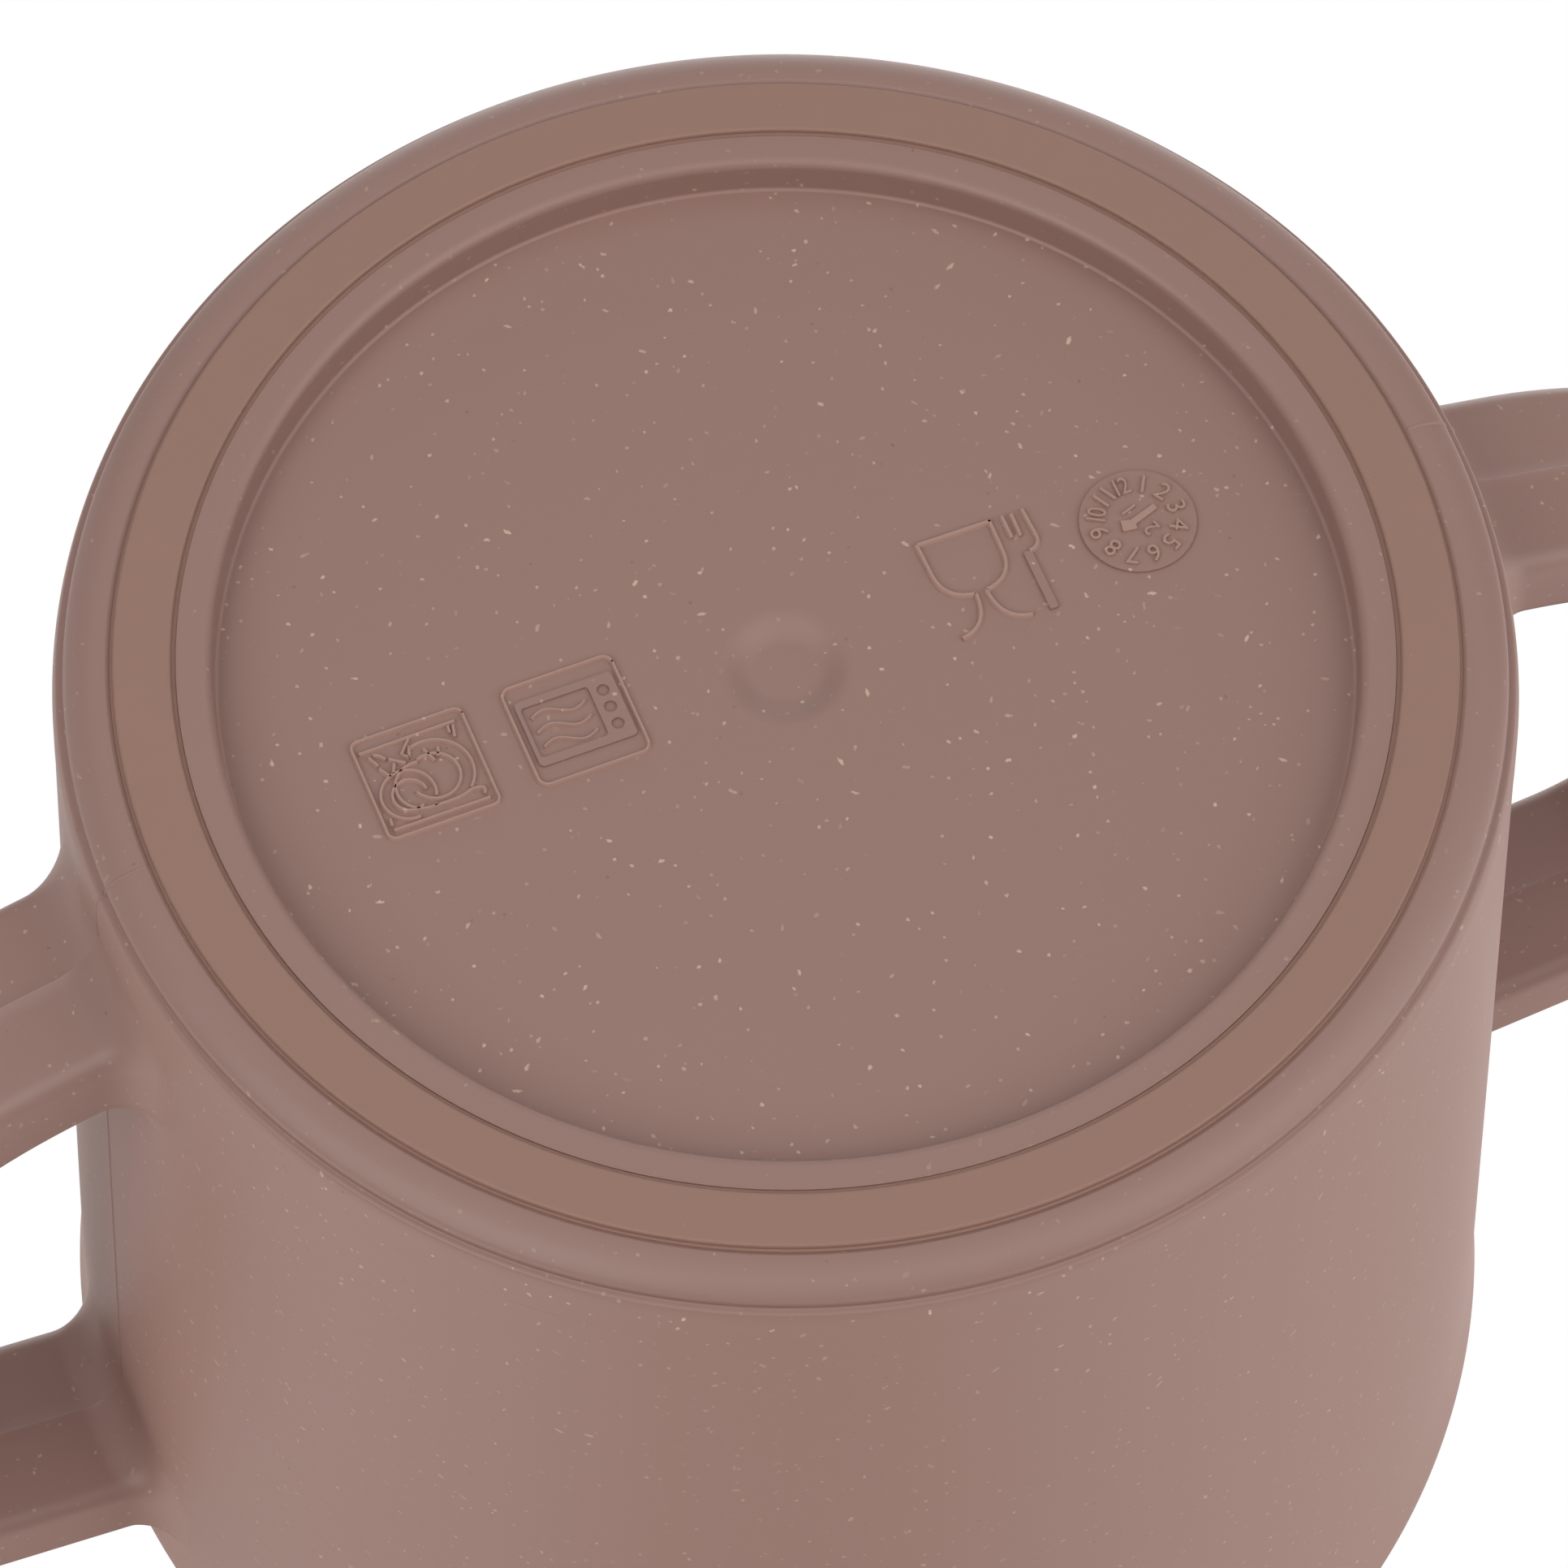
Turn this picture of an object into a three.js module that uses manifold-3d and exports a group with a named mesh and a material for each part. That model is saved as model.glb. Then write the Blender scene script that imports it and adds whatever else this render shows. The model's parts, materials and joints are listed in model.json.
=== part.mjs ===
// A two-handled toddler cup: a tapered plastic moulding with a speckled finish, standing on a
// soft anti-slip ring that is pressed into a groove of its base.
// Millimetres, +Z from the base to the mouth, X along the handles, origin under the base's centre.

import * as THREE from 'three';
import { mergeVertices } from 'three/addons/utils/BufferGeometryUtils.js';
import Module from 'manifold-3d';

// Cup
const baseDiameter = 71;
const mouthDiameter = 76;
const mouldingHeight = 64;
const wallThickness = 2.2;
const floorThickness = 2.4;
const floorFillet = 7;
const lipHeight = 6;
const lipFlare = 0.25;
const baseEdgeRadius = 2.4;

// Underside of the cup, from its edge inwards
const outerLandWidth = 2.8;
const grooveWidth = 3.2;
const grooveDepth = 1.8;
const innerLandWidth = 1.7;
const recessDepth = 2.1;
const recessDraft = 0.3;
const recessEdgeRadius = 0.5;
const gateDimpleDiameter = 6.1;
const gateDimpleDepth = 0.5;

// Anti-slip ring
const ringClearance = 0.2;
const ringProud = 0.2;
const ringEdgeRadius = 0.5;

// Handles
const handleReach = 22;
const strapWidth = 10.8;
const strapThickness = 5.1;
const strapEdgeRadius = 1.1;
const strapCrown = 0.15;
const baseLegHeight = 9.9;
const baseLegAngle = THREE.MathUtils.degToRad(16);
const mouthLegDrop = 4;
const mouthLegAngle = THREE.MathUtils.degToRad(7);
const cornerRadius = 12;
const rootFillet = 2.5;
const rimSideFillet = 1.2;
const rootStraight = 1;
const rootFaceClearance = 0.5;

// Fineness of the facets
const turnSegments = 72;
const edgeSegments = 3;
const filletSegments = 6;
const flareSegments = 4;
const arcStep = THREE.MathUtils.degToRad(8);
const meetingSteps = 12;

// Values that follow from the sizes above
const baseRadius = baseDiameter / 2;
const mouthRadius = mouthDiameter / 2;
const baseZ = ringProud;
const rimZ = baseZ + mouldingHeight;
const rimRadius = wallThickness / 2;
const rimCentreZ = rimZ - rimRadius;
const lipZ = rimCentreZ - lipHeight;
const coneSlope = (mouthRadius - lipFlare - baseRadius) / (rimCentreZ - baseZ);
const grooveOuterRadius = baseRadius - outerLandWidth;
const grooveInnerRadius = grooveOuterRadius - grooveWidth;
const recessRadius = grooveInnerRadius - innerLandWidth;
const recessZ = baseZ + recessDepth;
const grooveZ = baseZ + grooveDepth;
const insideFloorZ = recessZ + floorThickness;
const gateDimpleRadius = gateDimpleDiameter / 2;
const strapHalfWidth = strapWidth / 2;
const strapHalfThickness = strapThickness / 2;
const rootEmbed = wallThickness / 4;
const rootFaceX = mouthRadius + rootFillet + rootFaceClearance;
const cutterReach = 2 * (mouldingHeight + mouthDiameter);

const wasm = await Module();
wasm.setup();

// Outer radius of the cup's wall at a height: a straight cone that flares a little at the lip
function wallRadius(z) {
  const intoLip = Math.max(0, (z - lipZ) / lipHeight);
  return baseRadius + coneSlope * (z - baseZ) + lipFlare * intoLip ** 2;
}

// Points of a circular arc in a profile, both ends included
function arc(centreR, centreZ, radius, fromDegrees, toDegrees, segments) {
  const points = [];
  for (let i = 0; i <= segments; i++) {
    const angle = THREE.MathUtils.degToRad(fromDegrees + ((toDegrees - fromDegrees) * i) / segments);
    points.push(new THREE.Vector2(centreR + radius * Math.cos(angle), centreZ + radius * Math.sin(angle)));
  }
  return points;
}

function lathe(profile) {
  return new THREE.LatheGeometry(profile, turnSegments).rotateX(Math.PI / 2);
}

// A closed skin through rings of equally many points, with a fan over each end
function loft(rings) {
  const count = rings[0].length;
  const points = rings.flat();
  const index = [];
  for (let ring = 0; ring < rings.length - 1; ring++) {
    for (let i = 0; i < count; i++) {
      const a = ring * count + i;
      const b = ring * count + ((i + 1) % count);
      index.push(a, b, b + count, a, b + count, a + count);
    }
  }
  const middle = (ring) => {
    const sum = new THREE.Vector3();
    ring.forEach((point) => sum.add(point));
    return sum.divideScalar(count);
  };
  const firstMiddle = points.push(middle(rings[0])) - 1;
  const lastMiddle = points.push(middle(rings[rings.length - 1])) - 1;
  const lastStart = (rings.length - 1) * count;
  for (let i = 0; i < count; i++) {
    const next = (i + 1) % count;
    index.push(firstMiddle, next, i);
    index.push(lastMiddle, lastStart + i, lastStart + next);
  }
  const geometry = new THREE.BufferGeometry().setFromPoints(points);
  geometry.setIndex(index);
  return geometry;
}

// A geometry as a solid that can be joined and cut
function solid(geometry) {
  const bare = geometry.clone();
  bare.deleteAttribute('normal');
  bare.deleteAttribute('uv');
  const merged = mergeVertices(bare);
  const triangles = [];
  const corners = merged.index.array;
  for (let i = 0; i < corners.length; i += 3) {
    const [a, b, c] = [corners[i], corners[i + 1], corners[i + 2]];
    if (a !== b && b !== c && c !== a) {
      triangles.push(a, b, c);
    }
  }
  return new wasm.Manifold(
    new wasm.Mesh({
      numProp: 3,
      vertProperties: new Float32Array(merged.attributes.position.array),
      triVerts: new Uint32Array(triangles),
    }),
  );
}

function geometryOf(shape) {
  const mesh = shape.getMesh();
  const geometry = new THREE.BufferGeometry();
  geometry.setAttribute('position', new THREE.BufferAttribute(mesh.vertProperties, 3));
  geometry.setIndex(new THREE.BufferAttribute(mesh.triVerts, 1));
  geometry.computeVertexNormals();
  return geometry;
}

// The cup without its handles: underside, outer wall, rim, inside wall and floor
function cupShell() {
  const capRadius = (gateDimpleRadius ** 2 + gateDimpleDepth ** 2) / (2 * gateDimpleDepth);
  const capHalfAngle = THREE.MathUtils.radToDeg(Math.asin(gateDimpleRadius / capRadius));
  const gateDimple = arc(
    0, recessZ + gateDimpleDepth - capRadius, capRadius, 90, 90 - capHalfAngle, edgeSegments,
  );
  const recessFloorEnd = recessRadius - recessDraft;
  const underside = [
    ...gateDimple,
    new THREE.Vector2(recessFloorEnd, recessZ),
    ...arc(
      recessRadius + recessEdgeRadius, baseZ + recessEdgeRadius, recessEdgeRadius, 180, 270, edgeSegments,
    ),
    new THREE.Vector2(grooveInnerRadius, baseZ),
    new THREE.Vector2(grooveInnerRadius, grooveZ),
    new THREE.Vector2(grooveOuterRadius, grooveZ),
    new THREE.Vector2(grooveOuterRadius, baseZ),
  ];

  const edgeZ = baseZ + baseEdgeRadius;
  const baseEdge = arc(wallRadius(edgeZ) - baseEdgeRadius, edgeZ, baseEdgeRadius, -90, 0, edgeSegments);
  const lipLevels = [lipZ, lipZ + lipHeight / 2];
  const lip = lipLevels.map((z) => new THREE.Vector2(wallRadius(z), z));
  const rim = arc(mouthRadius - rimRadius, rimCentreZ, rimRadius, 0, 180, 2 * edgeSegments);

  const insideLip = lipLevels.toReversed().map((z) => new THREE.Vector2(wallRadius(z) - wallThickness, z));
  const filletZ = insideFloorZ + floorFillet;
  const filletRadius = wallRadius(filletZ) - wallThickness - floorFillet;
  const fillet = arc(filletRadius, filletZ, floorFillet, 0, -90, filletSegments);
  const floorCentre = new THREE.Vector2(0, insideFloorZ);
  return lathe([...underside, ...baseEdge, ...lip, ...rim, ...insideLip, ...fillet, floorCentre]);
}

function antiSlipRing() {
  const innerRadius = grooveInnerRadius + ringClearance;
  const outerRadius = grooveOuterRadius - ringClearance;
  const inset = ringEdgeRadius;
  const profile = [
    new THREE.Vector2(innerRadius, grooveZ),
    ...arc(innerRadius + inset, inset, ringEdgeRadius, 180, 270, edgeSegments),
    ...arc(outerRadius - inset, inset, ringEdgeRadius, 270, 360, edgeSegments),
    new THREE.Vector2(outerRadius, grooveZ),
    new THREE.Vector2(innerRadius, grooveZ),
  ];
  return lathe(profile);
}

// The handle strap's cross-section: a rounded rectangle, a little higher along the mould's parting line.
// Each point has its place across the strap, its place through the strap and its outward direction.
function strapSection() {
  const acrossCentre = strapHalfWidth - strapEdgeRadius;
  const throughCentre = strapHalfThickness - strapCrown - strapEdgeRadius;
  const corners = [
    { across: 1, through: 1, start: 0 },
    { across: -1, through: 1, start: 90 },
    { across: -1, through: -1, start: 180 },
    { across: 1, through: -1, start: 270 },
  ];
  const section = [];
  for (const corner of corners) {
    for (let i = 0; i <= edgeSegments; i++) {
      const angle = THREE.MathUtils.degToRad(corner.start + (90 * i) / edgeSegments);
      const normal = new THREE.Vector2(Math.cos(angle), Math.sin(angle));
      section.push({
        across: corner.across * acrossCentre + strapEdgeRadius * normal.x,
        through: corner.through * throughCentre + strapEdgeRadius * normal.y,
        normal,
      });
    }
    if (corner.across === corner.through) {
      section.push({
        across: 0,
        through: corner.through * strapHalfThickness,
        normal: new THREE.Vector2(0, corner.through),
      });
    }
  }
  return section;
}

// The strap's middle line in the plane of the handles, from the leg near the base to the leg near the rim.
// Each station has a point and the line's direction, as an angle up from +X.
function strapStations() {
  const outerX = mouthRadius + handleReach - strapHalfThickness;
  const legZ = baseZ + baseLegHeight;
  const bendX = wallRadius(legZ) + rootFillet + rootStraight;
  const bendZ = legZ + (bendX - wallRadius(legZ)) * Math.tan(baseLegAngle);
  const sweepRadius = (outerX - bendX) / (1 - Math.sin(baseLegAngle));
  const sweepZ = bendZ + sweepRadius * Math.cos(baseLegAngle);
  const mouthLegZ = rimZ - mouthLegDrop - strapHalfThickness;
  const legFall = (x) => (x - wallRadius(mouthLegZ)) * Math.tan(mouthLegAngle);
  const turnRadius = Math.min(cornerRadius, mouthLegZ - legFall(outerX) - sweepZ);
  const turnX = outerX - turnRadius;
  const turnEndX = turnX + turnRadius * Math.sin(mouthLegAngle);
  const turnZ = mouthLegZ - legFall(turnEndX) - turnRadius * Math.cos(mouthLegAngle);

  const stations = [];
  const addArc = (centreX, centreZ, radius, fromAngle, toAngle) => {
    const steps = Math.ceil((toAngle - fromAngle) / arcStep);
    for (let i = 0; i <= steps; i++) {
      const angle = fromAngle + ((toAngle - fromAngle) * i) / steps;
      stations.push({
        x: centreX + radius * Math.sin(angle),
        z: centreZ - radius * Math.cos(angle),
        angle,
      });
    }
  };
  addArc(outerX - sweepRadius, sweepZ, sweepRadius, baseLegAngle, Math.PI / 2);
  addArc(turnX, turnZ, turnRadius, Math.PI / 2, Math.PI - mouthLegAngle);
  return stations;
}

// Where a straight line from a point, along a direction towards the cup, meets the outer wall.
// Each step closes the gap that is left, so a few of them come close enough.
function meetWall(point, direction) {
  const meeting = point.clone();
  for (let i = 0; i < meetingSteps; i++) {
    const gap = Math.hypot(meeting.x, meeting.y) - wallRadius(meeting.z);
    meeting.addScaledVector(direction, gap / Math.abs(direction.x));
  }
  return meeting;
}

// The point of the outer wall beside a given point, or one at a depth inside that wall
function onWall(point, depth) {
  const scale = (wallRadius(point.z) - depth) / Math.hypot(point.x, point.y);
  return new THREE.Vector3(point.x * scale, point.y * scale, point.z);
}

// Rings that carry one end of the strap into the wall with a hollow fillet, from the strap inwards.
// The fillet on the strap's upper side may be smaller, where the rim leaves less room.
// The weights make a quarter circle where the strap meets the wall squarely.
function rootFlare(ring, normals, inward, upperFillet) {
  const flare = Array.from({ length: flareSegments + 2 }, () => []);
  ring.forEach((point, i) => {
    const corner = meetWall(point, inward);
    const wallNormal = new THREE.Vector3(corner.x, corner.y, 0).normalize();
    const alongWall = normals[i].clone().addScaledVector(wallNormal, -normals[i].dot(wallNormal)).normalize();
    const radius = THREE.MathUtils.lerp(rootFillet, upperFillet, Math.max(0, alongWall.z));
    const onStrap = corner.clone().addScaledVector(inward, -radius);
    const foot = onWall(corner.clone().addScaledVector(alongWall, radius), 0);
    for (let step = 0; step <= flareSegments; step++) {
      const t = step / flareSegments;
      const weights = [(1 - t) ** 2, Math.SQRT2 * t * (1 - t), t ** 2];
      const total = weights[0] + weights[1] + weights[2];
      flare[step].push(
        new THREE.Vector3()
          .addScaledVector(onStrap, weights[0] / total)
          .addScaledVector(corner, weights[1] / total)
          .addScaledVector(foot, weights[2] / total),
      );
    }
    flare[flareSegments + 1].push(onWall(foot, rootEmbed));
  });
  return flare;
}

// The right-hand handle with both of its roots, as one skin
function handleWithRoots() {
  const section = strapSection();
  const stations = strapStations();
  const rings = [];
  const ringNormals = [];
  for (const station of stations) {
    const through = new THREE.Vector3(-Math.sin(station.angle), 0, Math.cos(station.angle));
    rings.push(
      section.map((point) =>
        new THREE.Vector3(station.x, point.across, station.z).addScaledVector(through, point.through),
      ),
    );
    ringNormals.push(
      section.map((point) =>
        new THREE.Vector3(0, point.normal.x, 0).addScaledVector(through, point.normal.y),
      ),
    );
  }
  const last = stations.length - 1;
  const towardsBaseRoot = new THREE.Vector3(-Math.cos(baseLegAngle), 0, -Math.sin(baseLegAngle));
  const towardsMouthRoot = new THREE.Vector3(-Math.cos(mouthLegAngle), 0, Math.sin(mouthLegAngle));
  const baseRoot = rootFlare(rings[0], ringNormals[0], towardsBaseRoot, rootFillet);
  const mouthRoot = rootFlare(rings[last], ringNormals[last], towardsMouthRoot, rimSideFillet);
  return loft([...baseRoot.toReversed(), ...rings, ...mouthRoot]);
}

// The handles are divided from the cup on a flat face just outside their root fillets
const handleRight = solid(handleWithRoots());
const handleLeft = solid(handleWithRoots().rotateZ(Math.PI));
const betweenRootFaces = solid(new THREE.BoxGeometry(2 * rootFaceX, cutterReach, cutterReach));
const cup = solid(cupShell())
  .add(handleRight.intersect(betweenRootFaces))
  .add(handleLeft.intersect(betweenRootFaces));

const speckledPlastic = new THREE.MeshStandardMaterial({ color: '#937871', roughness: 0.55, metalness: 0 });
const softRing = new THREE.MeshStandardMaterial({ color: '#917268', roughness: 0.7, metalness: 0 });

const toddlerCup = new THREE.Group();
function addPiece(name, geometry, material) {
  const mesh = new THREE.Mesh(geometry, material);
  mesh.name = name;
  toddlerCup.add(mesh);
}

addPiece('cup_body', geometryOf(cup), speckledPlastic);
addPiece('left_handle', geometryOf(handleLeft.subtract(betweenRootFaces)), speckledPlastic);
addPiece('right_handle', geometryOf(handleRight.subtract(betweenRootFaces)), speckledPlastic);
addPiece('anti_slip_ring', geometryOf(solid(antiSlipRing())), softRing);

export default toddlerCup;
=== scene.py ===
"""A two-handled toddler cup in speckled plastic, standing on a soft ring in its base.

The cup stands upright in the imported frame. The camera looks at the underside from below, with the base
at the top of the picture, as if the cup had been turned over.
Sizes are in millimetres, and MM turns them into Blender's metres.
"""

import json
import math

import bpy
from mathutils import Matrix, Vector

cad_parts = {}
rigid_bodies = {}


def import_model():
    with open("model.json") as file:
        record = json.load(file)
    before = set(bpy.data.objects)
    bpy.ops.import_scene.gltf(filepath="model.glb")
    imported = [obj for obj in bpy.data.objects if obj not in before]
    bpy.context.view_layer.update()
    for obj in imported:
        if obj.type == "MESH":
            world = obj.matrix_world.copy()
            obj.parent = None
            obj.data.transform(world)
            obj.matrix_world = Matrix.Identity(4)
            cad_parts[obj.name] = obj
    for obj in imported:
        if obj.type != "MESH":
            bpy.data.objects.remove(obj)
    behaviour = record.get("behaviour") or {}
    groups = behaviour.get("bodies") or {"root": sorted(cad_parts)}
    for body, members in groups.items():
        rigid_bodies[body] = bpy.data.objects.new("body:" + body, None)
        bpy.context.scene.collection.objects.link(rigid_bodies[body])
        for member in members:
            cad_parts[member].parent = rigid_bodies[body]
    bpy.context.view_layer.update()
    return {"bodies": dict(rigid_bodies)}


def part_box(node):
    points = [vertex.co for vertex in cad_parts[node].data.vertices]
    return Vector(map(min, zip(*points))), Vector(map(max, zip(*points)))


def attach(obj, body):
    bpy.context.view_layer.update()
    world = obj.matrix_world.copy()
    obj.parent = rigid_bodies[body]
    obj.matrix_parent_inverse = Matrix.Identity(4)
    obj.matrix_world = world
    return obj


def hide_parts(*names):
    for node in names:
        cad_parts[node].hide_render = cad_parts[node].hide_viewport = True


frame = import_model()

MM = 0.001


def node_box(node_name):
    """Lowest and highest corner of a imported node, in millimetres."""
    low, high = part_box(node_name)
    return low / MM, high / MM


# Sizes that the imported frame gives
cup_low, cup_high = node_box("cup_body")
ring_high = node_box("anti_slip_ring")[1]
handle_high = node_box("right_handle")[1]
BASE_Z = cup_low.z
RIM_Z = cup_high.z
MOUTH_RADIUS = cup_high.y
GROOVE_Z = ring_high.z
HANDLE_OUTER_X = handle_high.x
STRAP_HALF_WIDTH = handle_high.y

# Cup
BASE_RADIUS = 35.5
WALL = 2.2
CUP_FLOOR = 2.4
CUP_FLOOR_FILLET = 7
LIP_HEIGHT = 6
LIP_FLARE = 0.25
BASE_EDGE = 2.4

# Underside of the cup
RING_CLEARANCE = 0.2
GROOVE_WIDTH = 3.2
GROOVE_INNER_EDGE = 0.04
GROOVE_OUTER_EDGE = 0.2
GROOVE_CHAMFER = 0.12
INNER_LAND = 1.7
RECESS_DEPTH = 2.1
RECESS_DRAFT = 0.1
RECESS_EDGE = 0.5
RECESS_CORNER = 0.2
DIMPLE_FLAT = 1.5
DIMPLE_RADIUS = 3.3
DIMPLE_DEPTH = 0.5

# Anti-slip ring, which fills its groove up to a ledge on each side of its raised face
RING_GAP = 0.01
RING_INNER_LEDGE = 0.22
RING_OUTER_LEDGE = 0.13
RING_LEDGE_HEIGHT = 0.31
RING_ROUNDING = 0.16

# Handles
STRAP_THICKNESS = 5.1
STRAP_EDGE = 1.1
STRAP_CROWN = 0.15
BASE_LEG_HEIGHT = 9.9
BASE_LEG_ANGLE = math.radians(16)
MOUTH_LEG_DROP = 4
MOUTH_LEG_ANGLE = math.radians(7)
HANDLE_CORNER = 12
ROOT_FILLET = 2.5
RIM_SIDE_FILLET = 1.2
ROOT_STRAIGHT = 1

# Depths under the cup's skin at which a handle's fillet runs out and its end lies
ROOT_SINK = 0.001
ROOT_EMBED = 0.5

# Lines that the mould leaves: a seam in the handles' plane, a groove in the base edge, a step in the wall
SEAM_WIDTH = 0.2
SEAM_HEIGHT = 0.05
EDGE_LINE_ANGLE = math.radians(60)
EDGE_LINE_DEPTH = 0.28
EDGE_LINE_BASE_SIDE = 0.34
EDGE_LINE_WALL_SIDE = 0.15
WALL_LINE_HEIGHT = 4.2
WALL_LINE_STEP = 0.02
WALL_LINE_FADE = 20

# Raised symbols on the underside
STROKE_WIDTH = 0.32
FINE_STROKE = 0.25
HAIR_STROKE = 0.18
STROKE_HEIGHT = 0.2
PLATE_HEIGHT = 0.16
SYMBOL_SIZE = 5.7
DISHWASHER_PLACE = (-18.4, 0.9)
MICROWAVE_PLACE = (-10.6, 0.95)
GLASS_PLACE = (10.4, 1)
FORK_PLACE = (13.4, 1)
DIAL_PLACE = (19.08, 1.14)
DIAL_RADIUS = 2.9
FIGURE_RADIUS = 2.05
FIGURE_HEIGHT = 0.95
FIGURE_WIDTH = 0.72
FIGURE_SPACING = 0.8
CENTRE_FIGURE_HEIGHT = 0.85 * FIGURE_HEIGHT
CENTRE_FIGURE_TURN = math.radians(-108)

# Fineness of the meshes; HOLD is how far beside an arc a point stands that keeps the shading there flat
TURN_SEGMENTS = 360
ARC_STEP = math.radians(7)
STRAP_STEP = math.radians(2)
BASE_EDGE_STEPS = 96
DIMPLE_STEPS = 16
LIP_STEPS = 8
RIM_STEPS = 24
WALL_STEPS = 8
STRAP_EDGE_STEPS = 8
STRAP_FACE_STEPS = 6
FLARE_STEPS = 14
MEETING_STEPS = 12
CIRCLE_STEP = 10
LEAST_CIRCLE_STEPS = 4
BEND_STEPS = 10
WAVE_STEPS = 24
FIGURE_CURVE_STEPS = 3
HOLD = 0.03
SHARP_ANGLE = math.radians(38)

# Values that follow from the sizes above
RIM_RADIUS = WALL / 2
RIM_CENTRE_Z = RIM_Z - RIM_RADIUS
LIP_Z = RIM_CENTRE_Z - LIP_HEIGHT
CONE_SLOPE = (MOUTH_RADIUS - LIP_FLARE - BASE_RADIUS) / (RIM_CENTRE_Z - BASE_Z)
GROOVE_OUTER = ring_high.x + RING_CLEARANCE
GROOVE_INNER = GROOVE_OUTER - GROOVE_WIDTH
RECESS_RADIUS = GROOVE_INNER - INNER_LAND
RECESS_Z = BASE_Z + RECESS_DEPTH
INSIDE_FLOOR_Z = RECESS_Z + CUP_FLOOR
WALL_LINE_LOW = BASE_Z + WALL_LINE_HEIGHT
WALL_LINE_HIGH = WALL_LINE_LOW + 2 * WALL_LINE_STEP
HALF_THICKNESS = STRAP_THICKNESS / 2
BASE_LEG_Z = BASE_Z + BASE_LEG_HEIGHT
MOUTH_LEG_Z = RIM_Z - MOUTH_LEG_DROP - HALF_THICKNESS
DIAL_LEVEL = RECESS_Z - PLATE_HEIGHT


def wall_radius(z):
    """Outer radius of the cup's wall: a straight cone that flares a little at the lip."""
    into_lip = max(0, (z - LIP_Z) / LIP_HEIGHT)
    return BASE_RADIUS + CONE_SLOPE * (z - BASE_Z) + LIP_FLARE * into_lip ** 2


def skin_radius(z):
    """Outer radius of the wall with the mould's fine step inwards, which fades out above its line."""
    if z < WALL_LINE_HIGH:
        return wall_radius(z)
    left = max(0, 1 - (z - WALL_LINE_HIGH) / WALL_LINE_FADE)
    return wall_radius(z) - WALL_LINE_STEP * left


# Mesh tools

def make_piece(name, points, faces, body, slot, material):
    """A smooth mesh piece from points in millimetres, riding on a body."""
    mesh = bpy.data.meshes.new(name)
    mesh.from_pydata([Vector(p) * MM for p in points], [], faces)
    mesh.validate()
    mesh.shade_smooth()
    mesh.set_sharp_from_angle(angle=SHARP_ANGLE)
    mesh.materials.append(material)
    piece = bpy.data.objects.new(name, mesh)
    bpy.context.scene.collection.objects.link(piece)
    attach(piece, body)
    return piece


def rounded(corners):
    """A profile through corners of (radius, height, fillet), with each fillet as an arc."""
    points = []
    for i, (r, z, fillet) in enumerate(corners):
        here = Vector((r, z))
        if fillet == 0:
            points.append(here)
            continue
        before = (Vector(corners[i - 1][:2]) - here).normalized()
        after = (Vector(corners[(i + 1) % len(corners)][:2]) - here).normalized()
        half = math.acos(max(-1, min(1, before.dot(after)))) / 2
        reach = fillet / math.tan(half)
        centre = here + (before + after).normalized() * (fillet / math.sin(half))
        start = here + before * reach - centre
        turn = math.pi - 2 * half
        side = before.x * after.y - before.y * after.x
        sign = -1 if side > 0 else 1
        steps = max(2, math.ceil(turn / ARC_STEP))
        points.append(centre + start + before * HOLD)
        for step in range(steps + 1):
            points.append(centre + Matrix.Rotation(sign * turn * step / steps, 2) @ start)
        points.append(here + after * (reach + HOLD))
    return points


def revolve(profile, closed):
    """Points and faces of a profile turned about the axis; an open one starts and ends on the axis."""
    points = []
    rings = []
    for place in profile:
        if place.x == 0:
            rings.append([len(points)])
            points.append((0, 0, place.y))
            continue
        rings.append(list(range(len(points), len(points) + TURN_SEGMENTS)))
        for i in range(TURN_SEGMENTS):
            angle = 2 * math.pi * i / TURN_SEGMENTS
            points.append((place.x * math.cos(angle), place.x * math.sin(angle), place.y))
    faces = []
    pairs = list(zip(rings, rings[1:]))
    if closed:
        pairs.append((rings[-1], rings[0]))
    for a, b in pairs:
        for i in range(TURN_SEGMENTS):
            j = (i + 1) % TURN_SEGMENTS
            corners = [a[i % len(a)], a[j % len(a)], b[j % len(b)], b[i % len(b)]]
            faces.append(list(dict.fromkeys(corners)))
    return points, faces


def loft(rings):
    """Points and faces of a closed skin through rings of equally many points, with a fan over each end."""
    count = len(rings[0])
    points = [point for ring in rings for point in ring]
    faces = []
    for k in range(len(rings) - 1):
        for i in range(count):
            j = (i + 1) % count
            faces.append([k * count + i, k * count + j, (k + 1) * count + j, (k + 1) * count + i])
    for start, turned in ((0, True), ((len(rings) - 1) * count, False)):
        ring = points[start:start + count]
        middle = len(points)
        points.append(sum(ring, Vector()) / count)
        for i in range(count):
            corners = [middle, start + i, start + (i + 1) % count]
            faces.append(corners[::-1] if turned else corners)
    return points, faces


# A ridge's section: places across its width and above the surface, as shares of its width and height
RIDGE_SECTION = ((-0.5, -0.3), (-0.3, 0.85), (-0.2, 1), (0.2, 1), (0.3, 0.85), (0.5, -0.3))


def ridge(path, normals, width, height):
    """Points and faces of a low rounded ridge along a path on a surface."""
    rings = []
    for i, (point, normal) in enumerate(zip(path, normals)):
        ahead = path[min(i + 1, len(path) - 1)] - path[max(i - 1, 0)]
        side = ahead.cross(normal).normalized()
        rings.append([point + side * (a * width) + normal * (b * height) for a, b in RIDGE_SECTION])
    return loft(rings)


def joined(parts):
    """Several sets of points and faces as one."""
    points = []
    faces = []
    for more_points, more_faces in parts:
        faces.extend([index + len(points) for index in face] for face in more_faces)
        points.extend(more_points)
    return points, faces


# Materials

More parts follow.
